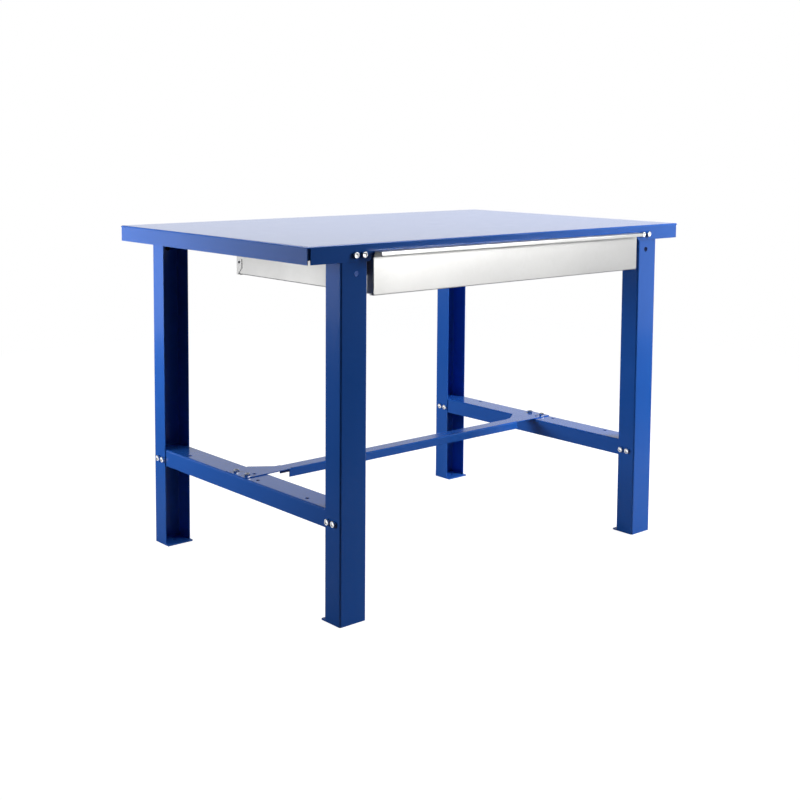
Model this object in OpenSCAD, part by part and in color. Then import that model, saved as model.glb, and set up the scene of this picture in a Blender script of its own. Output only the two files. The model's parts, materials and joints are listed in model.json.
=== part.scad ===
// Workbench with one drawer, bolted together from folded sheet steel.
// X runs along the bench, Y from its front to its back and Z up.
// The origin is on the floor under the middle of the worktop.
// Sub-parts are drawn at the right or rear, then mirrored to the left or front.

/* [Bench] */
// Length of the worktop
bench_length = 1200; // [1100:10:1400]
// Depth of the worktop
bench_depth = 750; // [740:10:850]
// Height of the worktop's upper face
bench_height = 800; // [760:5:900]

/* [Worktop] */
// Thickness of the worktop's sheet
worktop_sheet = 2; // [1.5:0.5:2.5]
// Outer radius of the worktop's folds
worktop_bend = 4; // [3:0.5:6]
// Height of the skirt around the worktop
skirt_height = 37; // [35:1:45]
// Height of the strip left above the drawer
strip_height = 22; // [20:1:22]
// Gap at each corner, between the front or rear skirt and the side skirt
corner_gap = 7; // [4:1:12]
// Distance from the floor-side edge of the skirt to the inner corner tab
corner_tab_rise = 9; // [5:1:15]
// Width of a stiffener
stiffener_width = 40; // [30:5:60]
// Thickness of a stiffener's sheet
stiffener_sheet = 1.5; // [1:0.5:2]

/* [Legs] */
// Width of a leg, along the bench
leg_width = 70; // [66:1:80]
// Depth of a leg, from its web to the edges of its flanges
leg_depth = 50; // [48:1:60]
// Thickness of a leg's sheet
leg_sheet = 2; // [1.5:0.5:3]
// Outer radius of a leg's folds
leg_bend = 4; // [3.5:0.5:6]
// Distance from the end of the worktop to a leg
leg_inset = 85; // [60:5:100]
// Thickness of a foot plate
foot_thickness = 4; // [3:1:6]
// How far a foot plate stands out of the leg's open side
foot_overhang = 12; // [8:1:20]
// Height of the spare hole in each leg's web
leg_hole_height = 738; // [700:1:740]
// Radius of the spare hole in each leg's web
leg_hole_radius = 6; // [4:0.5:7]

/* [Stretchers] */
// Height of the side stretchers' lower edges above the floor
stretcher_base = 202; // [150:1:300]
// Height of a side stretcher
side_stretcher_height = 40; // [35:1:50]
// Width of the long stretcher
long_stretcher_width = 40; // [36:1:50]
// Height of the long stretcher's flanges
long_stretcher_height = 20; // [15:1:35]
// Thickness of the stretchers' sheet
stretcher_sheet = 2; // [1.5:0.5:2.5]
// Outer radius of the stretchers' folds
stretcher_bend = 4; // [3.5:0.5:6]
// Radius of the spare holes in the stretchers
spare_hole_radius = 5; // [4:0.5:6]

/* [Drawer] */
// Height of the drawer's front
drawer_front_height = 93; // [90:1:120]
// Distance from the worktop's upper face to the top of the drawer's front
drawer_drop = 17; // [14:1:19]
// Gap between the drawer's front and a leg
drawer_side_gap = 12.5; // [10:0.5:15]
// Depth of the drawer's body
drawer_depth = 512; // [505:1:520]
// How far the pull lip stands out of the drawer's front
lip_reach = 23; // [15:1:30]
// Height of the pull lip
lip_height = 8; // [7:0.5:12]
// Thickness of the front's and the back's sheet
front_sheet = 1.2; // [1:0.1:1.5]
// Thickness of the body's sheet
body_sheet = 1; // [0.8:0.1:1.2]

/* [Hidden] */
$fn = 48;

// Worktop
half_length = bench_length / 2;
half_depth = bench_depth / 2;
top_underside = bench_height - worktop_sheet;
skirt_bottom = bench_height - skirt_height;
strip_bottom = bench_height - strip_height;
skirt_end_gap = 3.5;
skirt_corner_radius = 8;
corner_tab_length = 24;
corner_tab_recess = 3;
stiffener_height = 25;
stiffener_bend = 3;
stiffener_bottom = top_underside - stiffener_height;
stiffener_clearance = 2;
middle_stiffener_y = 80;

// Legs
leg_outer = half_length - leg_inset;
leg_inner = leg_outer - leg_width;
leg_middle = leg_outer - leg_width / 2;
leg_face = half_depth - worktop_sheet;
leg_edge = leg_face - leg_depth;
leg_fold_clearance = worktop_bend - worktop_sheet + 0.2;
leg_hole_x = leg_inner + 29;
plug_cap_radius = leg_hole_radius + 2;
plug_cap_thickness = 1.8;
plug_stem_gap = 0.1;
plug_bead_lip = 0.3;
plug_bead_length = 3;
plug_wall = 1.5;
foot_hole_radius = 5;
foot_hole_y = leg_face - 33;

// Fasteners
bolt_radius = 4;
bolt_hole_radius = 4.5;
bolt_head_across = 13;
bolt_head_height = 5.3;
nut_height = 6.5;
nut_bore_radius = 4.15;
washer_radius = 8;
washer_thickness = 1.6;
top_bolt_x = [leg_inner + 12, leg_inner + 34];
top_bolt_z = skirt_bottom + 14;
top_bolt_length = 18;
side_bolt_y = [leg_face - 20.5, leg_face - 41];
side_bolt_z = stretcher_base + 15;
side_bolt_length = 16;
plate_bolt_y = [-8, 36];
plate_bolt_length = 18;

// Stretchers
side_stretcher_width = leg_width - 2 * leg_sheet;
side_stretcher_top = stretcher_base + side_stretcher_height;
side_stretcher_end = leg_face - leg_sheet - 5;
side_stretcher_outer = leg_outer - leg_sheet;
hole_row_x = side_stretcher_outer - 17;
shelf_hole_y = 235;
middle_hole_y = -50;
long_stretcher_top = side_stretcher_top + stretcher_sheet;
long_flange_end = leg_inner - 60;
plate_hole_x = hole_row_x - 21;
plate_hole_y = -6;
plate_end = side_stretcher_outer - 1;
plate_front = -22;
plate_rear = 57;
plate_flare_start = leg_inner - 47;
plate_flare_end = leg_inner + 4;

// Drawer
drawer_half = leg_inner - drawer_side_gap;
drawer_face = half_depth + 2;
drawer_top = bench_height - drawer_drop;
drawer_bottom = drawer_top - drawer_front_height;
front_bend = 2.2;
front_return = 20;
front_bottom_return = 15;
front_return_top = stiffener_bottom - 1.5;
lip_hem = 5;
lip_end_gap = 4;
body_half = drawer_half - 7.2;
body_front = drawer_face - front_sheet;
body_back = drawer_depth - drawer_face;
body_bottom = drawer_bottom + front_sheet;
body_top = bench_height - 38;
body_bend = 2.5;
body_flange = 15;
body_flange_overlap = 0.2;
back_top = body_top - 6;
back_flange = 20;
back_bottom_flange = 15;
back_mitre = 15;
rivet_radius = 1.6;
rivet_head_radius = 3.3;
rivet_head_height = 1.2;
rivet_hole_gap = 0.1;
rivet_z = drawer_bottom + 30;

// Runners
runner_sheet = 1.2;
runner_middle_z = bench_height - 51.5;
runner_front = -half_depth + 22;
runner_back = 110;
runner_web_x = body_half + 12.7;
runner_bend = 1.6;
hanger_sheet = 2;
hanger_bend = 4;
hanger_bottom = runner_middle_z - 18.5;
hanger_width = 28;
hanger_screw_x = runner_web_x - 14;
front_stiffener_y = -(leg_face - 22);
hanger_screw_y = [front_stiffener_y + 10, middle_stiffener_y];
screw_radius = 2.5;
screw_hole_radius = 2.7;
screw_head_radius = 4.5;
screw_head_height = 2.8;
drawer_screw_radius = 1.8;
drawer_screw_hole_radius = 1.9;
drawer_screw_head_radius = 3.6;
drawer_screw_head_height = 2;
hanger_nut_height = 5;
hanger_nut_across = 8;
hanger_screw_length = 12;
runner_screw_y = [runner_front + 36, -110, runner_back - 30];
drawer_screw_y = [runner_front + 20, -120, 70];
outer_height = 35;
outer_depth = 10;
middle_height = 27.4;
middle_depth = 7.4;
middle_offset = 3.2;
middle_back = runner_back - 6;
inner_height = 19.8;
inner_depth = 6.3;
inner_back = middle_back - 14;
outer_lip = 1.4;
middle_lip = 1;
cage_sheet = 0.8;
cage_front = -230;
outer_cage_back = -18;
inner_cage_back = -32;
outer_cage_offset = 1.8;
outer_cage_height = 30.8;
outer_cage_depth = 6.6;
inner_cage_offset = 5;
inner_cage_height = 23.2;
inner_cage_depth = 4;
ball_radius = 1;
ball_hole_radius = 1.25;
balls_per_row = 8;
ball_margin = 12;
outer_ball_x = 6.2;
inner_ball_x = 7.6;
stop_length = 4.5;
stop_gap = 0.5;

// Colours
blue_paint = [0.13, 0.27, 0.62];
galvanised = [0.80, 0.81, 0.81];
zinc = [0.86, 0.87, 0.90];
runner_steel = [0.70, 0.72, 0.74];
black_rubber = [0.07, 0.07, 0.08];

// ---------- Placing ----------

module to_left() {
  mirror([1, 0, 0]) children();
}

module to_front() {
  mirror([0, 1, 0]) children();
}

module on_both_sides() {
  children();
  to_left() children();
}

module at_four_corners() {
  on_both_sides() children();
  to_front() on_both_sides() children();
}

// Turns a child that points along Z so that it points along X.
module facing_x() {
  rotate([0, 90, 0]) children();
}

// Turns a child that points along Z so that it points along Y.
module facing_y() {
  rotate([-90, 0, 0]) children();
}

// Extrudes an outline drawn in Y and Z from one X to another.
module extrude_x(from, to) {
  translate([from, 0, 0]) rotate([90, 0, 90]) linear_extrude(to - from) children();
}

// Extrudes an outline drawn in X and Z from one Y to another.
module extrude_y(from, to) {
  translate([0, to, 0]) rotate([90, 0, 0]) linear_extrude(to - from) children();
}

module box(low, high) {
  translate(low) cube(high - low);
}

// ---------- Folded sheet outlines ----------

// Solid block with both corners of its lower edge rounded.
module channel_block(width, depth, radius) {
  translate([-width / 2, radius]) square([width, depth - radius]);
  translate([radius - width / 2, 0]) square([width - 2 * radius, depth]);
  for (side = [-1, 1]) {
    translate([side * (width / 2 - radius), radius]) circle(radius);
  }
}

// Channel with its web along X and its open side towards +Y.
module channel_outline(width, depth, sheet, radius) {
  difference() {
    channel_block(width, depth, radius);
    translate([0, sheet]) channel_block(width - 2 * sheet, depth, radius - sheet);
  }
}

// Solid block with its corner at the origin rounded.
module angle_block(width, height, radius) {
  translate([radius, 0]) square([width - radius, height]);
  translate([0, radius]) square([width, height - radius]);
  translate([radius, radius]) circle(radius);
}

// Angle with its fold at the origin and its two legs along +X and +Y.
module angle_outline(width, height, sheet, radius) {
  difference() {
    angle_block(width, height, radius);
    translate([sheet, sheet]) angle_block(width, height, radius - sheet);
  }
}

// What is cut off a square corner at the origin to round it.
module corner_waste(radius) {
  difference() {
    translate([-1, -1]) square(radius + 1);
    translate([radius, radius]) circle(radius);
  }
}

// ---------- Fasteners, pointing along Z with the head above Z = 0 ----------

module hex_prism(across, height) {
  cylinder(h = height, d = across / cos(30), $fn = 6);
}

// Hexagon whose upper corners are chamfered.
module hex_head(across, height) {
  intersection() {
    hex_prism(across, height);
    cylinder(h = height, r1 = across / 2 + 1.6 * height, r2 = across / 2 - 0.2);
  }
}

module hex_bolt(length) {
  hex_head(bolt_head_across, bolt_head_height);
  translate([0, 0, -length]) cylinder(h = length, r = bolt_radius);
}

module hex_nut() {
  difference() {
    hex_head(bolt_head_across, nut_height);
    translate([0, 0, -1]) cylinder(h = nut_height + 2, r = nut_bore_radius);
  }
}

module washer() {
  difference() {
    cylinder(h = washer_thickness, r = washer_radius);
    translate([0, 0, -1]) cylinder(h = washer_thickness + 2, r = nut_bore_radius);
  }
}

// Low domed head on a plain shank.
module domed_fastener(head_radius, head_height, shank_radius, length) {
  dome_radius = (pow(head_radius, 2) + pow(head_height, 2)) / (2 * head_height);
  intersection() {
    translate([0, 0, head_height - dome_radius]) sphere(dome_radius);
    cylinder(h = head_height + 1, r = head_radius + 1);
  }
  translate([0, 0, -length]) cylinder(h = length + head_height / 4, r = shank_radius);
}

// Holes through a sheet that faces X, Y or Z, at a given point.
module hole_x(point, radius) {
  translate(point) facing_x() cylinder(h = 12, r = radius, center = true);
}

module hole_y(point, radius) {
  translate(point) facing_y() cylinder(h = 12, r = radius, center = true);
}

module hole_z(point, radius) {
  translate(point) cylinder(h = 12, r = radius, center = true);
}

// ---------- Worktop ----------

// Block with its four upper edges rounded and its upper face at Z = 0.
module tray_block(length, depth, height, radius) {
  intersection() {
    extrude_y(-depth / 2, depth / 2) mirror([0, 1]) channel_block(length, height, radius);
    extrude_x(-length / 2, length / 2) mirror([0, 1]) channel_block(depth, height, radius);
  }
}

module tray_shell() {
  inner_length = bench_length - 2 * worktop_sheet;
  inner_depth = bench_depth - 2 * worktop_sheet;
  translate([0, 0, bench_height]) difference() {
    tray_block(bench_length, bench_depth, skirt_height, worktop_bend);
    translate([0, 0, -worktop_sheet])
      tray_block(inner_length, inner_depth, skirt_height, worktop_bend - worktop_sheet);
  }
}

// Opening in the front skirt that leaves the strip above the drawer.
module drawer_cut_out() {
  cut_half = drawer_half + skirt_end_gap;
  extrude_y(-half_depth - 1, -leg_face + 0.5) {
    translate([-cut_half, skirt_bottom - 1]) square([2 * cut_half, strip_bottom - skirt_bottom + 1]);
    for (side = [0, 1]) {
      mirror([side, 0]) translate([cut_half, skirt_bottom]) corner_waste(skirt_corner_radius);
    }
  }
}

// Gap between two skirts at the rear right corner.
module corner_notch() {
  box(
    [half_length - corner_gap, half_depth - corner_tab_recess, skirt_bottom - 1],
    [half_length + 1, half_depth + 1, bench_height - worktop_bend]
  );
}

// Tab folded from the side skirt behind the end of the rear skirt.
module corner_tab() {
  tab_face = half_depth - corner_tab_recess;
  box(
    [half_length - corner_tab_length, tab_face - worktop_sheet, skirt_bottom + corner_tab_rise],
    [half_length - worktop_sheet / 2, tab_face, top_underside + worktop_sheet / 2]
  );
}

module worktop() {
  color(blue_paint) {
    difference() {
      tray_shell();
      drawer_cut_out();
      at_four_corners() {
        corner_notch();
        for (x = top_bolt_x) {
          hole_y([x, half_depth, top_bolt_z], bolt_hole_radius);
        }
      }
    }
    at_four_corners() corner_tab();
  }
}

module stiffener(half_span, middle_y, screw_y) {
  color(blue_paint) difference() {
    translate([0, middle_y, stiffener_bottom]) extrude_x(-half_span, half_span)
      channel_outline(stiffener_width, stiffener_height, stiffener_sheet, stiffener_bend);
    on_both_sides() hole_z([hanger_screw_x, screw_y, stiffener_bottom], screw_hole_radius);
  }
}

module front_stiffener() {
  stiffener(leg_inner - stiffener_clearance, front_stiffener_y, hanger_screw_y[0]);
}

module middle_stiffener() {
  stiffener(half_length - worktop_sheet - stiffener_clearance, middle_stiffener_y, hanger_screw_y[1]);
}

// ---------- Legs and feet ----------

module leg() {
  color(blue_paint) difference() {
    translate([leg_middle, leg_face, foot_thickness]) linear_extrude(top_underside - foot_thickness)
      mirror([0, 1]) channel_outline(leg_width, leg_depth, leg_sheet, leg_bend);
    // The web stops below the fold inside the worktop's skirt.
    box(
      [leg_inner - 1, leg_face - leg_fold_clearance, top_underside - leg_fold_clearance],
      [leg_outer + 1, leg_face + 1, bench_height]
    );
    for (x = top_bolt_x) {
      hole_y([x, leg_face, top_bolt_z], bolt_hole_radius);
    }
    hole_y([leg_hole_x, leg_face, leg_hole_height], leg_hole_radius);
    for (x = [leg_inner, leg_outer], y = side_bolt_y) {
      hole_x([x, y, side_bolt_z], bolt_hole_radius);
    }
  }
}

module leg_rear_right() {
  leg();
}

module leg_rear_left() {
  to_left() leg();
}

module leg_front_right() {
  to_front() leg();
}

module leg_front_left() {
  to_front() to_left() leg();
}

// Hollow plugs that close the spare holes in the rear legs, pushed in from behind.
module rear_leg_plugs() {
  stem_radius = leg_hole_radius - plug_stem_gap;
  bead_start = -leg_sheet - plug_stem_gap - plug_bead_length;
  color(black_rubber) on_both_sides() translate([leg_hole_x, leg_face, leg_hole_height]) facing_y()
    difference() {
      union() {
        cylinder(h = plug_cap_thickness, r = plug_cap_radius);
        translate([0, 0, bead_start]) cylinder(h = -bead_start + plug_cap_thickness / 2, r = stem_radius);
        translate([0, 0, bead_start]) cylinder(h = plug_bead_length, r = leg_hole_radius + plug_bead_lip);
      }
      translate([0, 0, bead_start - 1]) cylinder(h = 1 - bead_start, r = stem_radius - plug_wall);
    }
}

module foot_plate() {
  color(blue_paint) difference() {
    box([leg_inner, leg_edge - foot_overhang, 0], [leg_outer, leg_face, foot_thickness]);
    hole_z([leg_middle, foot_hole_y, 0], foot_hole_radius);
    translate([leg_inner, leg_face, -1]) mirror([0, 1]) linear_extrude(foot_thickness + 2)
      corner_waste(leg_bend);
    translate([leg_outer, leg_face, -1]) mirror([1, 0]) mirror([0, 1])
      linear_extrude(foot_thickness + 2) corner_waste(leg_bend);
  }
}

module foot_plate_rear_right() {
  foot_plate();
}

module foot_plate_rear_left() {
  to_left() foot_plate();
}

module foot_plate_front_right() {
  to_front() foot_plate();
}

module foot_plate_front_left() {
  to_front() to_left() foot_plate();
}

// ---------- Stretchers ----------

module side_stretcher() {
  color(blue_paint) difference() {
    translate([leg_middle, 0, side_stretcher_top]) extrude_y(-side_stretcher_end, side_stretcher_end)
      mirror([0, 1])
        channel_outline(side_stretcher_width, side_stretcher_height, stretcher_sheet, stretcher_bend);
    for (x = [leg_inner, leg_outer], y = side_bolt_y, side = [-1, 1]) {
      hole_x([x, side * y, side_bolt_z], bolt_hole_radius);
    }
    for (y = [-shelf_hole_y, middle_hole_y, shelf_hole_y]) {
      hole_z([hole_row_x, y, side_stretcher_top], spare_hole_radius);
    }
    hole_z([plate_hole_x, plate_hole_y, side_stretcher_top], spare_hole_radius);
    for (y = plate_bolt_y) {
      hole_z([hole_row_x, y, side_stretcher_top], bolt_hole_radius);
    }
  }
}

module side_stretcher_right() {
  side_stretcher();
}

module side_stretcher_left() {
  to_left() side_stretcher();
}

// Flat end of the long stretcher, wider to the rear than its channel.
module end_plate() {
  half_width = long_stretcher_width / 2;
  translate([0, 0, side_stretcher_top]) linear_extrude(stretcher_sheet) polygon([
    [long_flange_end - 2, -half_width + stretcher_bend],
    [long_flange_end, -half_width],
    [plate_flare_end, plate_front],
    [plate_end, plate_front],
    [plate_end, plate_rear],
    [plate_flare_end, plate_rear],
    [plate_flare_start, half_width],
    [long_flange_end, half_width],
    [long_flange_end - 2, half_width - stretcher_bend]
  ]);
}

module long_stretcher() {
  color(blue_paint) difference() {
    union() {
      translate([0, 0, long_stretcher_top]) extrude_x(-long_flange_end, long_flange_end)
        mirror([0, 1]) channel_outline(
          long_stretcher_width, long_stretcher_height, stretcher_sheet, stretcher_bend
        );
      on_both_sides() end_plate();
    }
    on_both_sides() {
      hole_z([plate_hole_x, plate_hole_y, side_stretcher_top], spare_hole_radius);
      for (y = plate_bolt_y) {
        hole_z([hole_row_x, y, side_stretcher_top], bolt_hole_radius);
      }
    }
  }
}

// ---------- Bolts, washers and nuts of the frame ----------

module worktop_bolts() {
  color(zinc) at_four_corners() for (x = top_bolt_x) {
    translate([x, half_depth, top_bolt_z]) facing_y() hex_bolt(top_bolt_length);
  }
}

module worktop_bolt_washers() {
  color(zinc) at_four_corners() for (x = top_bolt_x) {
    translate([x, leg_face - leg_sheet, top_bolt_z]) to_front() facing_y() washer();
  }
}

module worktop_bolt_nuts() {
  color(zinc) at_four_corners() for (x = top_bolt_x) {
    translate([x, leg_face - leg_sheet - washer_thickness, top_bolt_z]) to_front() facing_y() hex_nut();
  }
}

// Places a child at each bolt of the right side stretcher, pointing out of the leg.
module at_side_stretcher_bolts(depth) {
  for (y = side_bolt_y, side = [-1, 1]) {
    translate([leg_outer - depth, side * y, side_bolt_z]) facing_x() children();
    translate([leg_inner + depth, side * y, side_bolt_z]) to_left() facing_x() children();
  }
}

module side_stretcher_bolts() {
  color(zinc) at_side_stretcher_bolts(0) hex_bolt(side_bolt_length);
}

module side_stretcher_nuts() {
  color(zinc) at_side_stretcher_bolts(leg_sheet + stretcher_sheet) mirror([0, 0, 1]) hex_nut();
}

module side_stretcher_bolts_right() {
  side_stretcher_bolts();
}

module side_stretcher_bolts_left() {
  to_left() side_stretcher_bolts();
}

module side_stretcher_nuts_right() {
  side_stretcher_nuts();
}

module side_stretcher_nuts_left() {
  to_left() side_stretcher_nuts();
}

// Places a child at each bolt of the long stretcher, at a given height.
module at_plate_bolts(z) {
  on_both_sides() for (y = plate_bolt_y) {
    translate([hole_row_x, y, z]) children();
  }
}

module long_stretcher_bolts() {
  color(zinc) at_plate_bolts(long_stretcher_top) hex_bolt(plate_bolt_length);
}

module long_stretcher_washers() {
  color(zinc) at_plate_bolts(side_stretcher_top - stretcher_sheet - washer_thickness) washer();
}

module long_stretcher_nuts() {
  nut_top = side_stretcher_top - stretcher_sheet - washer_thickness;
  color(zinc) at_plate_bolts(nut_top) mirror([0, 0, 1]) hex_nut();
}

// ---------- Runner hangers ----------

// Angle that hangs one runner below the stiffeners.
module runner_hanger() {
  hanger_outer = runner_web_x + hanger_sheet;
  color(galvanised) difference() {
    translate([hanger_outer, 0, stiffener_bottom]) extrude_y(runner_front, runner_back + 2)
      mirror([1, 0]) mirror([0, 1])
        angle_outline(hanger_width, stiffener_bottom - hanger_bottom, hanger_sheet, hanger_bend);
    for (y = hanger_screw_y) {
      hole_z([hanger_screw_x, y, stiffener_bottom], screw_hole_radius);
    }
    for (y = runner_screw_y) {
      hole_x([hanger_outer, y, runner_middle_z], screw_hole_radius);
    }
  }
}

module runner_hanger_right() {
  runner_hanger();
}

module runner_hanger_left() {
  to_left() runner_hanger();
}

module hanger_screws() {
  color(zinc) on_both_sides() for (y = hanger_screw_y) {
    translate([hanger_screw_x, y, stiffener_bottom - hanger_sheet]) mirror([0, 0, 1])
      domed_fastener(screw_head_radius, screw_head_height, screw_radius, hanger_screw_length);
  }
}

module hanger_nuts() {
  color(zinc) on_both_sides() for (y = hanger_screw_y) {
    translate([hanger_screw_x, y, stiffener_bottom + stiffener_sheet]) difference() {
      hex_head(hanger_nut_across, hanger_nut_height);
      hole_z([0, 0, 0], screw_hole_radius);
    }
  }
}

// ---------- Runners, drawn for the right side of the bench ----------

// Channel along Y, open towards the drawer, with lips at the edges of its flanges.
module runner_channel(offset, height, depth, lip, from, to) {
  translate([runner_web_x - offset, 0, runner_middle_z]) extrude_y(from, to) rotate(90) {
    channel_outline(height, depth, runner_sheet, runner_bend);
    for (side = [-1, 1]) {
      translate([side * (height / 2 - runner_sheet - lip / 2), depth - runner_sheet / 2])
        square([lip + 0.2, runner_sheet], center = true);
    }
  }
}

module runner_outer() {
  color(runner_steel) difference() {
    runner_channel(0, outer_height, outer_depth, outer_lip, runner_front, runner_back);
    for (y = runner_screw_y) {
      hole_x([runner_web_x + 4, y, runner_middle_z], screw_hole_radius);
    }
  }
}

module runner_outer_right() {
  runner_outer();
}

module runner_outer_left() {
  to_left() runner_outer();
}

module runner_middle() {
  color(runner_steel)
    runner_channel(middle_offset, middle_height, middle_depth, middle_lip, runner_front, middle_back);
}

module runner_middle_right() {
  runner_middle();
}

module runner_middle_left() {
  to_left() runner_middle();
}

// Channel screwed to the drawer's side, open towards the middle member.
module runner_inner() {
  color(runner_steel) difference() {
    translate([body_half, 0, runner_middle_z]) extrude_y(runner_front, inner_back) rotate(-90)
      channel_outline(inner_height, inner_depth, runner_sheet, runner_bend);
    for (y = drawer_screw_y) {
      hole_x([body_half - 4, y, runner_middle_z], drawer_screw_hole_radius);
    }
  }
}

module runner_inner_right() {
  runner_inner();
}

module runner_inner_left() {
  to_left() runner_inner();
}

function ball_y(from, to, index) =
  from + ball_margin + index * (to - from - 2 * ball_margin) / (balls_per_row - 1);

// Places a child at the middle of each ball of one cage.
module at_balls(ball_x, row_gap, from, to) {
  for (index = [0 : balls_per_row - 1], side = [-1, 1]) {
    translate([
      runner_web_x - ball_x, ball_y(from, to, index), runner_middle_z + side * row_gap / 2
    ]) children();
  }
}

// Strip bent to a channel, with a hole for each ball.
module ball_cage(offset, height, depth, ball_x, from, to) {
  color(galvanised) difference() {
    translate([runner_web_x - offset, 0, runner_middle_z]) extrude_y(from, to) rotate(90)
      channel_outline(height, depth, cage_sheet, 1.2 * cage_sheet);
    at_balls(ball_x, height - cage_sheet, from, to)
      cylinder(h = 4 * cage_sheet, r = ball_hole_radius, center = true);
  }
}

module ball_rows(height, ball_x, from, to) {
  color(zinc) at_balls(ball_x, height - cage_sheet, from, to) sphere(ball_radius);
}

module outer_ball_cage() {
  ball_cage(
    outer_cage_offset, outer_cage_height, outer_cage_depth, outer_ball_x, cage_front, outer_cage_back
  );
}

module inner_ball_cage() {
  ball_cage(
    inner_cage_offset, inner_cage_height, inner_cage_depth, inner_ball_x, cage_front, inner_cage_back
  );
}

module outer_balls() {
  ball_rows(outer_cage_height, outer_ball_x, cage_front, outer_cage_back);
}

module inner_balls() {
  ball_rows(inner_cage_height, inner_ball_x, cage_front, inner_cage_back);
}

module outer_ball_cage_right() {
  outer_ball_cage();
}

module outer_ball_cage_left() {
  to_left() outer_ball_cage();
}

module inner_ball_cage_right() {
  inner_ball_cage();
}

module inner_ball_cage_left() {
  to_left() inner_ball_cage();
}

module outer_balls_right() {
  outer_balls();
}

module outer_balls_left() {
  to_left() outer_balls();
}

module inner_balls_right() {
  inner_balls();
}

module inner_balls_left() {
  to_left() inner_balls();
}

module runner_screws() {
  color(zinc) on_both_sides() for (y = runner_screw_y) {
    translate([runner_web_x + hanger_sheet, y, runner_middle_z]) facing_x()
      domed_fastener(screw_head_radius, screw_head_height, screw_radius, hanger_sheet + runner_sheet);
  }
}

// Rubber blocks that the middle members close against.
module runner_stops() {
  stop_front = middle_back + stop_gap;
  stop_half_height = outer_height / 2 - runner_bend;
  color(black_rubber) on_both_sides() box(
    [runner_web_x - outer_depth + runner_sheet, stop_front, runner_middle_z - stop_half_height],
    [runner_web_x - runner_sheet, stop_front + stop_length, runner_middle_z + stop_half_height]
  );
}

// ---------- Drawer ----------

// Front sheet seen from its end, up to the pull lip, with Y = 0 at its face.
module front_face_outline() {
  angle_outline(front_bottom_return, drawer_front_height - lip_height + 1, front_sheet, front_bend);
}

// Pull lip seen from its end: folded forwards, down and back under itself.
module pull_lip_outline() {
  lip_width = lip_reach + front_sheet;
  translate([front_sheet - lip_width / 2, drawer_front_height]) mirror([0, 1])
    channel_outline(lip_width, lip_height, front_sheet, front_bend);
  translate([-lip_reach, drawer_front_height - lip_height]) square([lip_hem, front_sheet]);
}

// Flange folded back at the right end of the front.
module front_side_return() {
  return_bottom = drawer_bottom + 2 * front_bend;
  translate([drawer_half, -drawer_face, return_bottom]) mirror([1, 0])
    linear_extrude(front_return_top - return_bottom)
      angle_outline(3 * front_bend, front_return, front_sheet, front_bend);
}

module drawer_front() {
  face_half = drawer_half - front_bend;
  lip_half = drawer_half - lip_end_gap;
  color(galvanised) {
    translate([0, -drawer_face, drawer_bottom]) {
      extrude_x(-lip_half, lip_half) pull_lip_outline();
      extrude_x(-face_half, face_half) front_face_outline();
    }
    on_both_sides() front_side_return();
  }
}

module drawer_body() {
  color(galvanised) difference() {
    union() {
      translate([0, 0, body_bottom]) extrude_y(front_bend - drawer_face, body_back - front_sheet)
        channel_outline(2 * body_half, body_top - body_bottom, body_sheet, body_bend);
      on_both_sides() box(
        [body_half - body_flange, -body_front, body_bottom + 2 * body_bend],
        [body_half - body_sheet / 2, -body_front + body_sheet + body_flange_overlap, body_top - body_bend]
      );
    }
    on_both_sides() {
      for (y = drawer_screw_y) {
        hole_x([body_half, y, runner_middle_z], drawer_screw_hole_radius);
      }
      hole_x([body_half, body_back - back_flange / 2, rivet_z], rivet_radius + rivet_hole_gap);
    }
  }
}

// Flange that laps round the right side of the drawer, mitred at its lower corner.
module back_side_flange() {
  flange_front = body_back - back_flange;
  translate([body_half, 0, 0]) extrude_x(0, front_sheet) polygon([
    [flange_front, back_top],
    [body_back - front_sheet / 2, back_top],
    [body_back - front_sheet / 2, drawer_bottom + front_sheet],
    [flange_front + back_mitre, drawer_bottom + front_sheet],
    [flange_front, drawer_bottom + front_sheet + back_mitre]
  ]);
}

module drawer_back() {
  back_half = body_half + front_sheet;
  color(galvanised) difference() {
    union() {
      box([-back_half, body_back - front_sheet, drawer_bottom], [back_half, body_back, back_top]);
      box(
        [-back_half, body_back - back_bottom_flange, drawer_bottom],
        [back_half, body_back, drawer_bottom + front_sheet]
      );
      on_both_sides() back_side_flange();
    }
    on_both_sides()
      hole_x([body_half, body_back - back_flange / 2, rivet_z], rivet_radius + rivet_hole_gap);
  }
}

module drawer_rivets() {
  color(zinc) on_both_sides() {
    translate([body_half + front_sheet, body_back - back_flange / 2, rivet_z]) facing_x()
      domed_fastener(rivet_head_radius, rivet_head_height, rivet_radius, front_sheet + body_sheet);
  }
}

module drawer_runner_screws() {
  color(zinc) on_both_sides() for (y = drawer_screw_y) {
    translate([body_half - body_sheet, y, runner_middle_z]) to_left() facing_x() domed_fastener(
      drawer_screw_head_radius, drawer_screw_head_height, drawer_screw_radius, body_sheet + runner_sheet
    );
  }
}

worktop();
front_stiffener();
middle_stiffener();
leg_front_left();
leg_front_right();
leg_rear_left();
leg_rear_right();
foot_plate_front_left();
foot_plate_front_right();
foot_plate_rear_left();
foot_plate_rear_right();
rear_leg_plugs();
side_stretcher_left();
side_stretcher_right();
long_stretcher();
worktop_bolts();
worktop_bolt_washers();
worktop_bolt_nuts();
side_stretcher_bolts_left();
side_stretcher_bolts_right();
side_stretcher_nuts_left();
side_stretcher_nuts_right();
long_stretcher_bolts();
long_stretcher_washers();
long_stretcher_nuts();
runner_hanger_left();
runner_hanger_right();
hanger_screws();
hanger_nuts();
runner_outer_left();
runner_outer_right();
runner_screws();
runner_stops();
runner_middle_left();
runner_middle_right();
outer_ball_cage_left();
outer_ball_cage_right();
outer_balls_left();
outer_balls_right();
inner_ball_cage_left();
inner_ball_cage_right();
inner_balls_left();
inner_balls_right();
drawer_front();
drawer_body();
drawer_back();
drawer_rivets();
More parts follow.
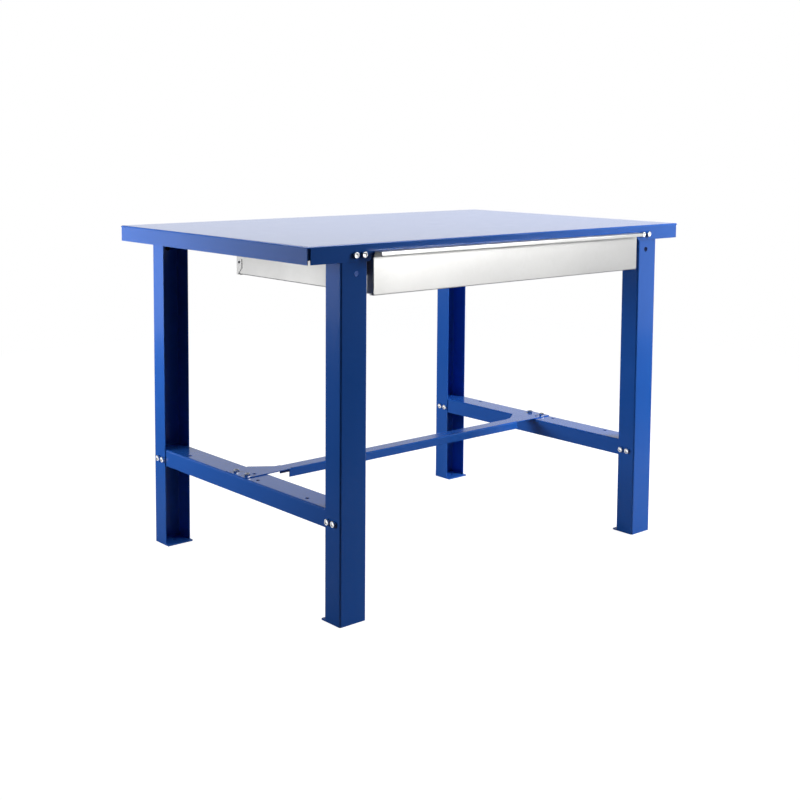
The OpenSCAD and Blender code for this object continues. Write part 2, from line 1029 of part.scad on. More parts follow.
runner_inner_left();
runner_inner_right();
drawer_runner_screws();
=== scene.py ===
"""Workbench with one drawer: the looks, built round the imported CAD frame. Lengths are in metres.

The sheet-metal parts keep their CAD shapes. The fasteners and the hole plugs are replaced by
detailed ones, and the weld beads are added here.
"""
import json
import math
import random

import bpy
from mathutils import Matrix, Vector


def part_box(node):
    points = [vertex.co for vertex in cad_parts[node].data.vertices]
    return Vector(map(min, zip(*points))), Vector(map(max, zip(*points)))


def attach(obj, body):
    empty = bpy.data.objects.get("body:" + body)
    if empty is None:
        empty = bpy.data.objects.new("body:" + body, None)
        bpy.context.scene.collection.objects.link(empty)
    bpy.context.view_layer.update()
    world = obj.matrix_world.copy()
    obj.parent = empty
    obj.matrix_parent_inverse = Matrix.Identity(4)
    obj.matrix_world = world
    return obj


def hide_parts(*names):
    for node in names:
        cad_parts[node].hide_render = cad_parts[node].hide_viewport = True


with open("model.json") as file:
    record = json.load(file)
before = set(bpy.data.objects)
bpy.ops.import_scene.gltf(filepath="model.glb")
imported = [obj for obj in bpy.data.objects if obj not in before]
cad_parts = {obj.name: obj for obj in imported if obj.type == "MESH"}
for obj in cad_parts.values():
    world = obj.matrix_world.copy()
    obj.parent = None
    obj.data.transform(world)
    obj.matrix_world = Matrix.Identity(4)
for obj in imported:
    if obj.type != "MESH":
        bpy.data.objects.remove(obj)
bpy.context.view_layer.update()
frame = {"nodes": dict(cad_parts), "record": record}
scene = bpy.context.scene
dice = random.Random(7)

MM = 0.001

# ---------- Camera and studio ----------

# Angles are in degrees. The camera's yaw turns from +Y towards +X, a pitch below zero looks down,
# and an azimuth turns from +X towards +Y. The lens and the sensor are in millimetres.
CAMERA_PLACE = (-2.0948, -2.3567, 1.0177)
CAMERA_YAW = 41.23
CAMERA_PITCH = -5.13
CAMERA_ROLL = 0.41
FOCAL_LENGTH = 56.62
SENSOR_WIDTH = 36.0
LENS_SHIFT = -0.1875
BACKDROP_AZIMUTH = 43.0
BACKDROP_LEAN = -0.45
FLOOR_HALF_SIZE = 3.2
FLOOR_GLOW = 0.96


def make_camera():
    """The camera is nearly level, and its lens is shifted so that upright edges stay upright."""
    data = bpy.data.cameras.new("camera")
    data.sensor_width = SENSOR_WIDTH
    data.lens = FOCAL_LENGTH
    data.shift_y = LENS_SHIFT
    camera = bpy.data.objects.new("camera", data)
    scene.collection.objects.link(camera)
    heading = Matrix.Rotation(math.radians(-CAMERA_YAW), 4, "Z")
    tilt = Matrix.Rotation(math.radians(90 + CAMERA_PITCH), 4, "X")
    roll = Matrix.Rotation(math.radians(CAMERA_ROLL), 4, "Z")
    camera.matrix_world = Matrix.Translation(CAMERA_PLACE) @ heading @ tilt @ roll
    scene.camera = camera


def soft_box(name, place, aim, size, power, spread=180.0, mirrored=True, only=()):
    """A rectangular area light at a place, turned towards a point. It can be kept out of
    reflections, and it can light a few pieces only."""
    data = bpy.data.lights.new(name, "AREA")
    data.shape = "RECTANGLE"
    data.size, data.size_y = size
    data.energy = power
    data.spread = math.radians(spread)
    light = bpy.data.objects.new(name, data)
    scene.collection.objects.link(light)
    light.location = place
    light.rotation_euler = (Vector(aim) - Vector(place)).to_track_quat("-Z", "Y").to_euler()
    light.visible_camera = False
    light.visible_glossy = mirrored
    if only:
        receivers = bpy.data.collections.new(f"{name}_receivers")
        for piece in only:
            receivers.objects.link(piece)
        light.light_linking.receiver_collection = receivers


def make_lights(worktop, sheets, bolts, low_bolts):
    """Two soft boxes give the blue paint its shades, a long one lights the worktop and the bends at
    its edges, and white cards are mirrored by the bare metal."""
    key, fill, above_bench = (1.9, -1.3, 1.4), (-1.45, 1.05, 0.75), (0.4, 0.6, 3.2)
    right_side, rear_half, middle = (0.9, -0.3, 0.45), (0.45, 0.1, 0.5), (0.0, 0.0, 0.5)
    soft_box("key_right", key, right_side, (1.5, 1.1), power=21.5, spread=80.0, mirrored=False)
    soft_box("fill_rear_left", fill, rear_half, (1.3, 0.6), power=9, spread=90.0, mirrored=False)
    soft_box("overhead", above_bench, middle, (3.0, 2.4), power=8)

    above_rear, worktop_rear = (0.26, 1.0, 3.2), (-0.36, 0.49, 0.8)
    soft_box("long_box", above_rear, worktop_rear, (5.2, 1.0), power=110, only=worktop)

    ahead, drawer_corner = (0.6, -1.85, 1.22), (-0.43, -0.38, 0.73)
    soft_box("drawer_front_card", ahead, drawer_corner, (1.4, 0.36), power=35, only=sheets)
    behind_left, drawer_side = (-1.7, 1.45, 0.3), (-0.43, -0.1, 0.72)
    soft_box("drawer_side_card", behind_left, drawer_side, (0.9, 0.6), power=3.2, only=sheets)

    ahead_right, on_floor, over_floor = (1.4, -2.0, 0.95), (-0.55, 0.65, 0.02), (-0.55, 0.65, 1.0)
    soft_box("bolt_card", ahead_right, drawer_corner, (1.8, 1.0), power=18, only=bolts)
    soft_box("low_card", on_floor, over_floor, (1.6, 1.6), power=9, only=low_bolts)


def fade(nodes, limits, values):
    """A node that eases from one value to another between two limits."""
    node = nodes.new("ShaderNodeMapRange")
    node.interpolation_type = "SMOOTHSTEP"
    node.inputs["From Min"].default_value, node.inputs["From Max"].default_value = limits
    node.inputs["To Min"].default_value, node.inputs["To Max"].default_value = values
    return node


def make_world():
    """White for the camera. All that is lit or mirrored sees a white backdrop round the far side of
    the bench, greyer higher up, and a dim room on the near side."""
    world = bpy.data.worlds.new("studio")
    scene.world = world
    world.use_nodes = True
    nodes, links = world.node_tree.nodes, world.node_tree.links
    nodes.clear()
    direction = nodes.new("ShaderNodeTexCoord").outputs["Generated"]

    azimuth = math.radians(BACKDROP_AZIMUTH)
    facing = nodes.new("ShaderNodeVectorMath")
    facing.operation = "DOT_PRODUCT"
    facing.inputs[1].default_value = (math.cos(azimuth), math.sin(azimuth), BACKDROP_LEAN)
    backdrop_edge, room_to_backdrop = (-0.05, 0.25), (0.05, 0.88)
    around = fade(nodes, backdrop_edge, room_to_backdrop)
    links.new(direction, facing.inputs[0])
    links.new(facing.outputs["Value"], around.inputs["Value"])

    height = nodes.new("ShaderNodeSeparateXYZ")
    horizon_to_height, white_to_grey = (0.10, 0.40), (1.0, 0.35)
    upwards = fade(nodes, horizon_to_height, white_to_grey)
    links.new(direction, height.inputs[0])
    links.new(height.outputs["Z"], upwards.inputs["Value"])

    strength = nodes.new("ShaderNodeMath")
    strength.operation = "MULTIPLY"
    links.new(around.outputs["Result"], strength.inputs[0])
    links.new(upwards.outputs["Result"], strength.inputs[1])
    studio = nodes.new("ShaderNodeBackground")
    studio.inputs["Color"].default_value = (0.94, 0.96, 1.0, 1)
    links.new(strength.outputs[0], studio.inputs["Strength"])

    white = nodes.new("ShaderNodeBackground")
    white.inputs["Color"].default_value = (1, 1, 1, 1)
    seen = nodes.new("ShaderNodeLightPath").outputs["Is Camera Ray"]
    chosen = nodes.new("ShaderNodeMixShader")
    output = nodes.new("ShaderNodeOutputWorld")
    links.new(seen, chosen.inputs[0])
    links.new(studio.outputs[0], chosen.inputs[1])
    links.new(white.outputs[0], chosen.inputs[2])
    links.new(chosen.outputs[0], output.inputs["Surface"])


def make_floor():
    """White paper that the camera sees fully lit, and that sends only a little light back up."""
    half = FLOOR_HALF_SIZE
    corners = [(-half, -half, 0), (half, -half, 0), (half, half, 0), (-half, half, 0)]
    mesh = bpy.data.meshes.new("floor")
    mesh.from_pydata(corners, [], [(0, 1, 2, 3)])
    floor = bpy.data.objects.new("floor", mesh)
    scene.collection.objects.link(floor)
    surface = Surface("floor_paper")
    surface.set(Base_Color=(0.24, 0.24, 0.25, 1), Roughness=0.9, Specular_IOR_Level=0.1)
    surface.set(Emission_Color=(1, 1, 1, 1))
    seen = surface.nodes.new("ShaderNodeLightPath").outputs["Is Camera Ray"]
    surface.feed("Emission Strength", surface.remap(seen, 0.0, FLOOR_GLOW, 0.0, 1.0))
    mesh.materials.append(surface.material)


# ---------- Materials ----------

NOISE_LOW = 0.3
NOISE_HIGH = 0.7


class Surface:
    """A material on one Principled shader, with details added from object coordinates. Nearly all
    of a noise lies between NOISE_LOW and NOISE_HIGH."""

    def __init__(self, name):
        self.material = bpy.data.materials.new(name)
        self.material.use_nodes = True
        self.nodes = self.material.node_tree.nodes
        self.links = self.material.node_tree.links
        self.shader = self.nodes["Principled BSDF"]
        self.coordinates = self.nodes.new("ShaderNodeTexCoord").outputs["Object"]

    def set(self, **values):
        """Gives the shader's sockets their values. A socket's name has _ for each space."""
        for name, value in values.items():
            self.shader.inputs[name.replace("_", " ")].default_value = value

    def stretched(self, factors):
        """Coordinates scaled by a factor along each axis, to stretch a pattern along the smallest."""
        mapping = self.nodes.new("ShaderNodeMapping")
        mapping.inputs["Scale"].default_value = factors
        self.links.new(self.coordinates, mapping.inputs["Vector"])
        return mapping.outputs["Vector"]

    def noise(self, scale, detail=3.0, factors=(1, 1, 1), output="Fac"):
        """A noise with about so many bumps in a metre."""
        node = self.nodes.new("ShaderNodeTexNoise")
        node.inputs["Scale"].default_value = scale
        node.inputs["Detail"].default_value = detail
        self.links.new(self.stretched(factors), node.inputs["Vector"])
        return node.outputs[output]

    def crystals(self, scale, wobble):
        """A random grey for each cell of a pattern of cells whose edges waver by a distance."""
        waver = self.noise(1.7 * scale, detail=2.0, output="Color")
        shifted = self.nodes.new("ShaderNodeVectorMath")
        shifted.operation = "MULTIPLY_ADD"
        shifted.inputs[1].default_value = (wobble, wobble, wobble)
        self.links.new(waver, shifted.inputs[0])
        self.links.new(self.coordinates, shifted.inputs[2])
        cells = self.nodes.new("ShaderNodeTexVoronoi")
        cells.inputs["Scale"].default_value = scale
        self.links.new(shifted.outputs[0], cells.inputs["Vector"])
        grey = self.nodes.new("ShaderNodeSeparateColor")
        self.links.new(cells.outputs["Color"], grey.inputs[0])
        return grey.outputs[0]

    def remap(self, value, low, high, from_low=NOISE_LOW, from_high=NOISE_HIGH):
        """A value moved from one range to another, and held between that range's ends."""
        node = self.nodes.new("ShaderNodeMapRange")
        node.inputs["From Min"].default_value = from_low
        node.inputs["From Max"].default_value = from_high
        node.inputs["To Min"].default_value = low
        node.inputs["To Max"].default_value = high
        self.links.new(value, node.inputs["Value"])
        return node.outputs["Result"]

    def blend(self, value, first, second):
        """A colour between two, by a value from 0 to 1."""
        node = self.nodes.new("ShaderNodeMix")
        node.data_type = "RGBA"
        self.links.new(value, node.inputs["Factor"])
        for socket, colour in (("A", first), ("B", second)):
            target = [i for i in node.inputs if i.name == socket and i.type == "RGBA"][0]
            if isinstance(colour, tuple):
                target.default_value = (*colour, 1)
            else:
                self.links.new(colour, target)
        return [o for o in node.outputs if o.type == "RGBA"][0]

    def feed(self, name, value):
        """Links a value to one of the shader's sockets."""
        self.links.new(value, self.shader.inputs[name])

    def bump(self, layers):
        """Adds bumps from pairs of a height and how deep it is in metres, each on the one before."""
        normal = None
        for height, depth in layers:
            node = self.nodes.new("ShaderNodeBump")
            node.inputs["Distance"].default_value = depth
            self.links.new(height, node.inputs["Height"])
            if normal is not None:
                self.links.new(normal, node.inputs["Normal"])
            normal = node.outputs["Normal"]
        self.feed("Normal", normal)


def powder_coat():
    """Semi-gloss blue powder coat with its orange peel and a faint change of film thickness."""
    surface = Surface("blue_powder_coat")
    thick_film, thin_film, pale_speck = (0.014, 0.098, 0.43), (0.017, 0.106, 0.46), (0.022, 0.125, 0.50)
    film = surface.blend(surface.remap(surface.noise(5.0), 0.0, 1.0), thick_film, thin_film)
    specks = surface.remap(surface.noise(900.0, detail=2.0), 0.0, 0.25)
    surface.feed("Base Color", surface.blend(specks, film, pale_speck))
    surface.feed("Roughness", surface.remap(surface.noise(30.0, detail=5.0), 0.22, 0.27))
    surface.set(IOR=1.5, Specular_IOR_Level=0.32)
    surface.set(Coat_Weight=0.95, Coat_IOR=1.25, Coat_Roughness=0.12)
    waviness, orange_peel = surface.noise(4.0, detail=1.0), surface.noise(420.0, detail=2.0)
    surface.bump([(waviness, 0.3 * MM), (orange_peel, 0.02 * MM)])
    return surface.material


def galvanised_sheet():
    """Bright galvanised sheet with small faint spangles, rolling lines and a slight waviness."""
    surface = Surface("galvanised_sheet")
    dull, bright, clouded = (0.77, 0.765, 0.745), (0.80, 0.795, 0.78), (0.74, 0.735, 0.715)
    spangle = surface.remap(surface.crystals(90.0, 6 * MM), 0.0, 0.6, 0.0, 1.0)
    cloud = surface.noise(8.0, detail=4.0)
    tone = surface.blend(spangle, dull, bright)
    surface.feed("Base Color", surface.blend(surface.remap(cloud, 0.0, 0.5), tone, clouded))
    surface.feed("Roughness", surface.remap(cloud, 0.38, 0.43))
    surface.set(Metallic=1.0)
    waviness, rolling = surface.noise(5.0, detail=1.0), surface.noise(160.0, factors=(1, 1, 0.03))
    surface.bump([(waviness, 0.6 * MM), (rolling, 0.004 * MM)])
    return surface.material


def zinc_plate():
    """Bright zinc plate with soft clouding and a fine grain."""
    surface = Surface("bright_zinc")
    bluish, bright = (0.86, 0.87, 0.89), (0.93, 0.93, 0.93)
    cloud = surface.remap(surface.noise(260.0, detail=4.0), 0.0, 1.0)
    surface.feed("Base Color", surface.blend(cloud, bluish, bright))
    surface.feed("Roughness", surface.remap(surface.noise(900.0), 0.18, 0.34))
    surface.set(Metallic=1.0)
    surface.bump([(surface.noise(1500.0, detail=2.0), 0.01 * MM)])
    return surface.material


def rolled_steel():
    """Zinc-plated rolled steel, with lines along the runners."""
    surface = Surface("rolled_runner_steel")
    dull, bright = (0.56, 0.57, 0.59), (0.68, 0.69, 0.71)
    cloud = surface.remap(surface.noise(40.0, detail=4.0), 0.0, 1.0)
    lines = surface.noise(1200.0, factors=(1, 0.02, 1))
    surface.feed("Base Color", surface.blend(cloud, dull, bright))
    surface.feed("Roughness", surface.remap(lines, 0.22, 0.40))
    surface.set(Metallic=1.0)
    surface.bump([(lines, 0.02 * MM)])
    return surface.material


def black_rubber():
    """Matt black rubber with a fine grain, for the stops and the plugs."""
    surface = Surface("black_rubber")
    black, greyish = (0.012, 0.012, 0.013), (0.03, 0.03, 0.03)
    grain = surface.noise(1800.0)
    surface.feed("Base Color", surface.blend(surface.remap(grain, 0.0, 1.0), black, greyish))
    surface.feed("Roughness", surface.remap(grain, 0.7, 0.9))
    surface.bump([(grain, 0.05 * MM)])
    return surface.material


def welded_paint(paint):
    """The same powder coat, a little glossier, where it lies over a weld bead."""
    material = paint.copy()
    material.name = "blue_powder_coat_on_weld"
    shader = material.node_tree.nodes["Principled BSDF"]
    shader.inputs["Specular IOR Level"].default_value = 0.5
    return material


# ---------- Mesh tools ----------

SEGMENTS = 36
SHARP_EDGE = 32
SAME_POINT_DIGITS = 6

# A point belongs to a fastener's head if it lies further out than this share of the furthest one.
HEAD_SHARE = 0.8


def value_at(item, angle):
    """A ring's radius or height at an angle, where it may be a number or a function."""
    return item(angle) if callable(item) else item


def turned(rings, matrix, closed=False):
    """Vertices and faces through rings round Z. A ring is (radius, height), and either may be a
    function of the angle. A closed set joins its last ring to its first; otherwise its ends are capped."""
    vertices, faces = [], []
    for radius, height in rings:
        for step in range(SEGMENTS):
            angle = 2 * math.pi * step / SEGMENTS
            reach = value_at(radius, angle)
            point = Vector((reach * math.cos(angle), reach * math.sin(angle), value_at(height, angle)))
            vertices.append(matrix @ point)
    for ring in range(len(rings) if closed else len(rings) - 1):
        low = ring * SEGMENTS
        high = (ring + 1) % len(rings) * SEGMENTS
        for step in range(SEGMENTS):
            after = (step + 1) % SEGMENTS
            faces.append((low + step, low + after, high + after, high + step))
    if not closed:
        faces.append(tuple(reversed(range(SEGMENTS))))
        faces.append(tuple(range(len(vertices) - SEGMENTS, len(vertices))))
    return vertices, faces


def make_piece(name, parts, material, body, replaced=None, sharp=SHARP_EDGE):
    """One object from several sets of vertices and faces, riding on a body. Edges that turn by more
    than an angle in degrees stay sharp."""
    vertices, faces = [], []
    for part_vertices, part_faces in parts:
        start = len(vertices)
        vertices.extend(part_vertices)
        faces.extend(tuple(start + index for index in face) for face in part_faces)
    mesh = bpy.data.meshes.new(name)
    mesh.from_pydata(vertices, [], faces)
    mesh.materials.append(material)
    mesh.validate()
    mesh.shade_smooth()
    mesh.set_sharp_from_angle(angle=math.radians(sharp))
    piece = bpy.data.objects.new(name, mesh)
    scene.collection.objects.link(piece)
    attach(piece, body)
    if replaced:
        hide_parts(replaced)
    return piece


def solids(node):
    """The vertices of each separate solid of a CAD node, found by joining the corners of each face."""
    mesh = frame["nodes"][node].data
    group_of = {}

    def find(key):
        while group_of[key] != key:
            key = group_of[key]
        return key

    keys = [tuple(round(c, SAME_POINT_DIGITS) for c in vertex.co) for vertex in mesh.vertices]
    for key in keys:
        group_of[key] = key
    for face in mesh.polygons:
        first = find(keys[face.vertices[0]])
        for index in face.vertices[1:]:
            group_of[find(keys[index])] = first
    groups = {}
    for key in group_of:
        groups.setdefault(find(key), []).append(Vector(key))
    return list(groups.values())


def fastener_place(points, headed):
    """(matrix, shank length, head height) of a fastener. Its Z axis points out of its head, from
    the middle of the face that bears on the sheet, and a nut or washer has no shank. A headed one
    is longest along its axis, and any other is shortest."""
    low = Vector(min(p[a] for p in points) for a in range(3))
    high = Vector(max(p[a] for p in points) for a in range(3))
    size, middle = high - low, (low + high) / 2
    order = sorted(range(3), key=lambda a: size[a])
    axis = order[2] if headed else order[0]
    others = [a for a in range(3) if a != axis]
    reach = [math.hypot(*(p[a] - middle[a] for a in others)) for p in points]
    wide = [p[axis] for p, r in zip(points, reach) if r > HEAD_SHARE * max(reach)]
    outwards = 1 if sum(wide) / len(wide) >= middle[axis] else -1
    bearing = min(wide) if outwards > 0 else max(wide)
    direction = Vector((0, 0, 0))
    direction[axis] = outwards
    origin = middle.copy()
    origin[axis] = bearing
    turn = direction.to_track_quat("Z", "Y").to_matrix().to_4x4()
    spin = Matrix.Rotation(dice.uniform(0, 2 * math.pi), 4, "Z")
    tip = low[axis] if outwards > 0 else high[axis]
    head = high[axis] if outwards > 0 else low[axis]
    return Matrix.Translation(origin) @ turn @ spin, abs(bearing - tip), abs(head - bearing)


# ---------- Fasteners ----------

M8_ACROSS = 13 * MM
M8_RADIUS = 4 * MM
M8_PITCH = 1.25 * MM
M5_ACROSS = 8 * MM
M5_RADIUS = 2.5 * MM
SCREW_PITCH = 0.8 * MM
CHAMFER_ANGLE = 30

# Each pair is (depth below the crest, place within a turn), as shares of the depth and the pitch.
THREAD_PROFILE = ((1, 0.1), (0, 0.45), (0, 0.6), (1, 0.95))


def hexagon(across):
    """Radius of a hexagon as a function of the angle, from its width across flats."""
    sixth = math.pi / 3
    return lambda angle: across / 2 / math.cos((angle + sixth / 2) % sixth - sixth / 2)


def chamfered(across, face_radius, height, sign):
    """Height of a hexagon's edge where a cone cuts its corners, below (-1) or above (1) a height."""
    radius = hexagon(across)
    slope = math.tan(math.radians(CHAMFER_ANGLE))
    return lambda angle: height + sign * max(radius(angle) - face_radius, 0) * slope


def thread(radius, start, end, pitch, depth):
    """Rings of a thread between two heights, for a shank (depth above 0) or a bore (below 0)."""
    turns = max(int(abs(end - start) / pitch), 1)
    step = (end - start) / turns
    return [
        (radius - inset * depth, start + turn * step + place * step)
        for turn in range(turns)
        for inset, place in THREAD_PROFILE
    ]


def hex_bolt(matrix, length, height):
    """M8 bolt with a narrowed tip, a short smooth shank and a cup in its head."""
    across, shank, smooth = M8_ACROSS, M8_RADIUS, 4 * MM
    face, cup = 6.1 * MM, 4.2 * MM
    rings = [(0.74 * shank, -length), (0.88 * shank, -length + 0.5 * MM)]
    rings += thread(shank, -length + 0.7 * MM, -smooth, M8_PITCH, 0.55 * MM)
    rings += [
        (shank, -smooth + 0.3 * MM),
        (shank, 0),
        (face, 0),
        (hexagon(across - 0.3 * MM), 0.12 * MM),
        (hexagon(across), 0.35 * MM),
        (hexagon(across), chamfered(across, face, height - 0.25 * MM, -1)),
        (face - 0.1 * MM, height - 0.1 * MM),
        (face - 0.4 * MM, height),
        (cup + 0.3 * MM, height),
        (cup, height - 0.15 * MM),
        (cup - 0.4 * MM, height - 0.8 * MM),
        (cup - 1.0 * MM, height - 1.0 * MM),
    ]
    return turned(rings, matrix)


def hex_nut(matrix, _length, height, across=M8_ACROSS, bore=M8_RADIUS):
    """Nut with both faces chamfered and a threaded bore."""
    face, mouth = 0.47 * across, bore + 0.6 * MM
    rings = [
        (mouth, 0),
        (face, 0),
        (hexagon(across), chamfered(across, face, 0.1 * MM, 1)),
        (hexagon(across), chamfered(across, face, height - 0.1 * MM, -1)),
        (face, height),
        (mouth, height),
    ]
    rings += thread(bore, height - 0.5 * MM, 0.5 * MM, M8_PITCH, -0.4 * MM)
    return turned(rings, matrix, closed=True)


def small_nut(matrix, length, height):
    """Nut for the screws of the brackets."""
    return hex_nut(matrix, length, height, M5_ACROSS, M5_RADIUS)


def washer(matrix, _length, height):
    """Washer with chamfered edges."""
    outer, inner, edge = 8 * MM, 4.2 * MM, 0.3 * MM
    rings = [
        (inner, edge),
        (inner + edge, 0),
        (outer - edge, 0),
        (outer, edge),
        (outer, height - 0.5 * edge),
        (outer - edge, height),
        (inner + edge, height),
        (inner, height - edge),
    ]
    return turned(rings, matrix, closed=True)


def dome(radius, height, inner):
    """Rings of a spherical cap from its rim in to an inner radius."""
    steps = 6
    ball = (radius**2 + height**2) / (2 * height)
    reaches = [radius + (inner - radius) * step / steps for step in range(steps + 1)]
    return [(reach, height - ball + math.sqrt(ball**2 - reach**2)) for reach in reaches]


def socket_screw(matrix, length, height, radius, shank):
    """Button-head screw with a hexagon socket."""
    across, floor = 0.85 * radius, 0.4 * height
    crown = dome(radius, height, 0.56 * radius)
    brim = crown[-1][1]
    rings = [(0.8 * shank, -length)]
    rings += thread(shank, -length + 0.2 * MM, -0.2 * MM, SCREW_PITCH, 0.3 * MM)
    rings += [(shank, 0), (radius, 0)]
    rings += crown
    rings += [
        (hexagon(across), brim + 0.02 * MM),
        (hexagon(across - 0.1 * MM), brim - 0.12 * MM),
        (hexagon(across - 0.1 * MM), floor),
        (0.2 * across, floor - 0.2 * MM),
    ]
    return turned(rings, matrix)


def bracket_screw(matrix, length, height):
    return socket_screw(matrix, length, height, radius=4.5 * MM, shank=M5_RADIUS)


def drawer_screw(matrix, length, height):
    return socket_screw(matrix, length, height, radius=3.6 * MM, shank=1.8 * MM)


def blind_rivet(matrix, length, height):
    """Domed rivet with the broken end of its mandrel down its middle."""
    radius, shank, hole = 3.3 * MM, 1.6 * MM, 0.9 * MM
    mandrel_foot, mandrel_end = height - 0.9 * MM, height - 0.7 * MM
    crown = dome(radius, height, hole + 0.15 * MM)
    brim = crown[-1][1]
    rings = [(0.7 * shank, -length), (shank, -length + 0.3 * MM), (shank, 0), (radius, 0)]
    rings += crown
    rings += [
        (hole, brim - 0.12 * MM),
        (hole, mandrel_foot),
        (hole - 0.1 * MM, mandrel_foot),
        (hole - 0.2 * MM, mandrel_end),
    ]
    return turned(rings, matrix)


def hole_plug(matrix, length, height):
    """Push-in plug: a domed cap outside the leg, and a hollow stem with a bead that catches inside."""
    bore, stem, bead, cap = 4.4 * MM, 5.9 * MM, 6.3 * MM, 8 * MM
    catch, bore_end = 2.1 * MM, -0.3 * MM
    rings = [
        (0.2 * bore, bore_end),
        (bore - 0.6 * MM, bore_end),
        (bore, bore_end - 0.6 * MM),
        (bore, -length + 0.5 * MM),
        (bore + 0.4 * MM, -length),
        (stem - 0.6 * MM, -length),
        (bead, -catch - 1.2 * MM),
        (bead, -catch - 0.3 * MM),
        (stem, -catch),
        (stem, 0),
        (cap - 0.2 * MM, 0),
        (cap, 0.2 * MM),
    ]
    rings += dome(cap, height, 0.2 * cap)[1:]
    return turned(rings, matrix)


# Each row is the CAD node, the function that builds the detailed one, whether it has a head on a
# shank, and the body that it rides on.
FASTENERS = [
    ("worktop_bolts", hex_bolt, True, "frame"),
    ("worktop_bolt_washers", washer, False, "frame"),
    ("worktop_bolt_nuts", hex_nut, False, "frame"),
    ("side_stretcher_bolts_left", hex_bolt, True, "frame"),
    ("side_stretcher_bolts_right", hex_bolt, True, "frame"),
    ("side_stretcher_nuts_left", hex_nut, False, "frame"),
    ("side_stretcher_nuts_right", hex_nut, False, "frame"),
    ("long_stretcher_bolts", hex_bolt, True, "frame"),
    ("long_stretcher_washers", washer, False, "frame"),
    ("long_stretcher_nuts", hex_nut, False, "frame"),
    ("hanger_screws", bracket_screw, True, "frame"),
    ("hanger_nuts", small_nut, False, "frame"),
    ("runner_screws", bracket_screw, True, "frame"),
    ("drawer_runner_screws", drawer_screw, True, "drawer"),
    ("drawer_rivets", blind_rivet, True, "drawer"),
]


def rebuild(node, build, headed, body, material, slot):
    """Makes a detailed piece in place of a CAD node that holds one or more round solids."""
    parts = [build(*fastener_place(points, headed)) for points in solids(node)]
    return make_piece(f"{node}_detailed", parts, material, body, node)


# ---------- Weld beads ----------

RIPPLE = 1.6 * MM
STEPS_PER_RIPPLE = 4
POINTS_ACROSS = 8
WELD_CREASE = 70

# A bead's section is an arc that starts and sweeps by these angles in degrees. Its radius is a
# share of the bead's size at the arc's ends, and a crown is added in the middle.
ARC_START = -14
ARC_SWEEP = 118
ARC_RADIUS = 0.80
ARC_CROWN = 0.12

# A bead's size along its run: its share at the ends, how fast it grows from there, what a ripple
# adds, and how far it wanders in a step and how much of that it keeps in the next.
END_SHARE = 0.25
END_GROWTH = 14
RIPPLE_SHARE = 0.10
WANDER = 0.03
WANDER_KEPT = 0.9


def weld_bead(start, end, first, second, size):
    """A rippled fillet along an inside corner, between two faces that point along two directions.
    It is thin at its ends, its width wanders, and each ripple bulges forwards in the middle."""
    start, end, first, second = map(Vector, (start, end, first, second))
    span = end - start
    steps = max(int(span.length / (RIPPLE / STEPS_PER_RIPPLE)), 2 * STEPS_PER_RIPPLE)
    vertices, faces = [], []
    wander = 0.0
    for step in range(steps + 1):
        share = step / steps
        taper = min(1.0, math.sin(math.pi * min(share, 1 - share)) * END_GROWTH + END_SHARE)
        wave = (share * span.length / RIPPLE) % 1.0
        wander = WANDER_KEPT * wander + dice.uniform(-WANDER, WANDER)
        reach = size * taper * (1 + RIPPLE_SHARE * (1 - wave) + wander)
        for point in range(POINTS_ACROSS + 1):
            angle = math.radians(ARC_START + ARC_SWEEP * point / POINTS_ACROSS)
            bulge = math.sin(math.pi * point / POINTS_ACROSS)
            radius = (ARC_RADIUS + ARC_CROWN * bulge) * reach
            along = start + share * span + RIPPLE / 2 * bulge * span.normalized()
            vertices.append(along + radius * (math.cos(angle) * first + math.sin(angle) * second))
    row = POINTS_ACROSS + 1
    for step in range(steps):
        for point in range(POINTS_ACROSS):
            low = step * row + point
            faces.append((low, low + 1, low + row + 1, low + row))
        low = step * row
        faces.append((low + POINTS_ACROSS, low, low + row, low + row + POINTS_ACROSS))
    faces.append(tuple(reversed(range(row))))
    faces.append(tuple(range(steps * row, (steps + 1) * row)))
    return vertices, faces


LEGS = ("front_left", "front_right", "rear_left", "rear_right")
STIFFENERS = ("front_stiffener", "middle_stiffener")


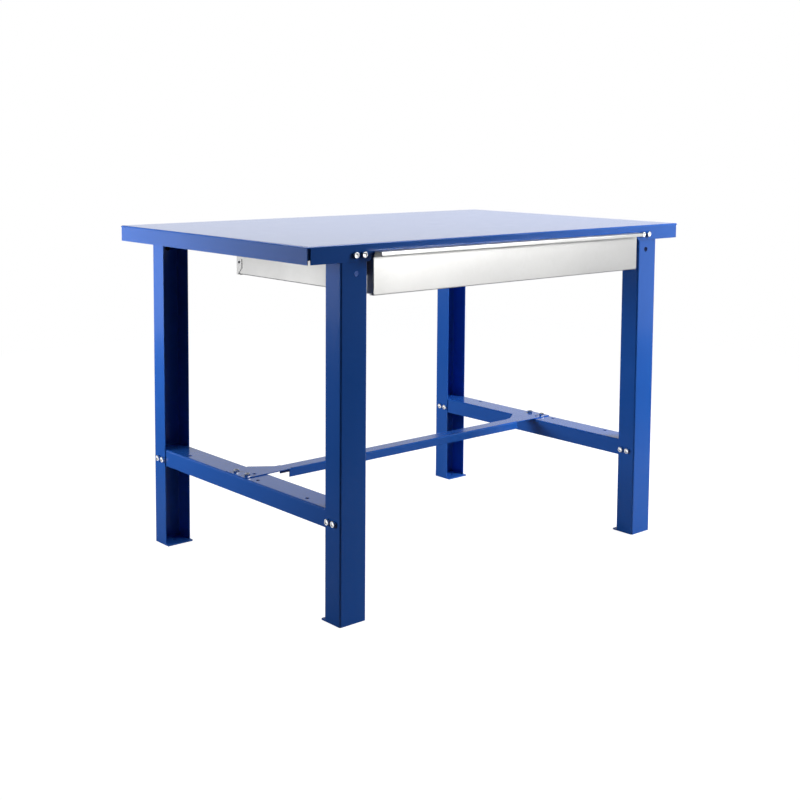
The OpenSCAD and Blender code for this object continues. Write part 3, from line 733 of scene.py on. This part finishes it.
def foot_welds(corner):
    """Beads that join a leg's web and flanges to the top of its foot plate, inside the channel."""
    leg_low, leg_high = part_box(f"leg_{corner}")
    floor_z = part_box(f"foot_plate_{corner}")[1].z
    sheet, size = 2 * MM, 3.2 * MM
    clear_of_fold, clear_of_web, clear_of_edge = 8 * MM, 14 * MM, 6 * MM
    inward = 1 if "front" in corner else -1
    web_y, edge_y = (leg_low.y, leg_high.y) if inward > 0 else (leg_high.y, leg_low.y)
    left_x, right_x = leg_low.x + sheet, leg_high.x - sheet
    up, beads = (0, 0, 1), []
    for x, side in ((left_x, 1), (right_x, -1)):
        begin = (x, web_y + inward * clear_of_web, floor_z)
        end = (x, edge_y - inward * clear_of_edge, floor_z)
        beads.append(weld_bead(begin, end, (side, 0, 0), up, size))
    inside_y = web_y + inward * sheet
    begin = (left_x + clear_of_fold, inside_y, floor_z)
    end = (right_x - clear_of_fold, inside_y, floor_z)
    beads.append(weld_bead(begin, end, (0, inward, 0), up, size))
    return beads


def stiffener_welds(node):
    """Short beads along both edges of a stiffener, where it meets the worktop's underside."""
    low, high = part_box(node)
    size, length, count = 2.6 * MM, 28 * MM, 6
    down, beads = (0, 0, -1), []
    for index in range(count):
        middle = low.x + (high.x - low.x) * (index + 0.5) / count
        for y, side in ((low.y, -1), (high.y, 1)):
            begin, end = (middle - length / 2, y, high.z), (middle + length / 2, y, high.z)
            beads.append(weld_bead(begin, end, (0, side, 0), down, size))
    return beads


def make_welds(material):
    """One piece of beads for each leg's foot, and one for each stiffener."""
    welds = {f"foot_weld_{corner}": foot_welds(corner) for corner in LEGS}
    welds |= {f"{node}_weld": stiffener_welds(node) for node in STIFFENERS}
    for name, beads in welds.items():
        make_piece(name, beads, material, "frame", sharp=WELD_CREASE)


# ---------- Putting it together ----------


def nodes_in_slot(slot):
    """The CAD nodes whose finish is a slot of the record."""
    subparts = frame["record"]["subparts"]
    return [frame["nodes"][part["node"]] for part in subparts if part["material_slot"] == slot]


def dress_cad_nodes(materials):
    """Gives each CAD node the material of its slot in the record."""
    for part in frame["record"]["subparts"]:
        for slot in frame["nodes"][part["node"]].material_slots:
            slot.material = materials[part["material_slot"]]


paint = powder_coat()
zinc = zinc_plate()
rubber = black_rubber()
dress_cad_nodes({
    "blue_paint": paint,
    "galvanised": galvanised_sheet(),
    "zinc": zinc,
    "runner_steel": rolled_steel(),
    "rubber": rubber,
})
fasteners = [rebuild(*row, zinc, "zinc") for row in FASTENERS]
rebuild("rear_leg_plugs", hole_plug, False, "frame", rubber, "rubber")
make_welds(welded_paint(paint))

make_floor()
bolts = [piece for piece in fasteners if "bolts" in piece.name]
low_bolts = [piece for piece in bolts if "stretcher" in piece.name]
make_lights([frame["nodes"]["worktop"]], nodes_in_slot("galvanised"), bolts, low_bolts)
make_world()
make_camera()
scene.view_settings.view_transform = "Standard"
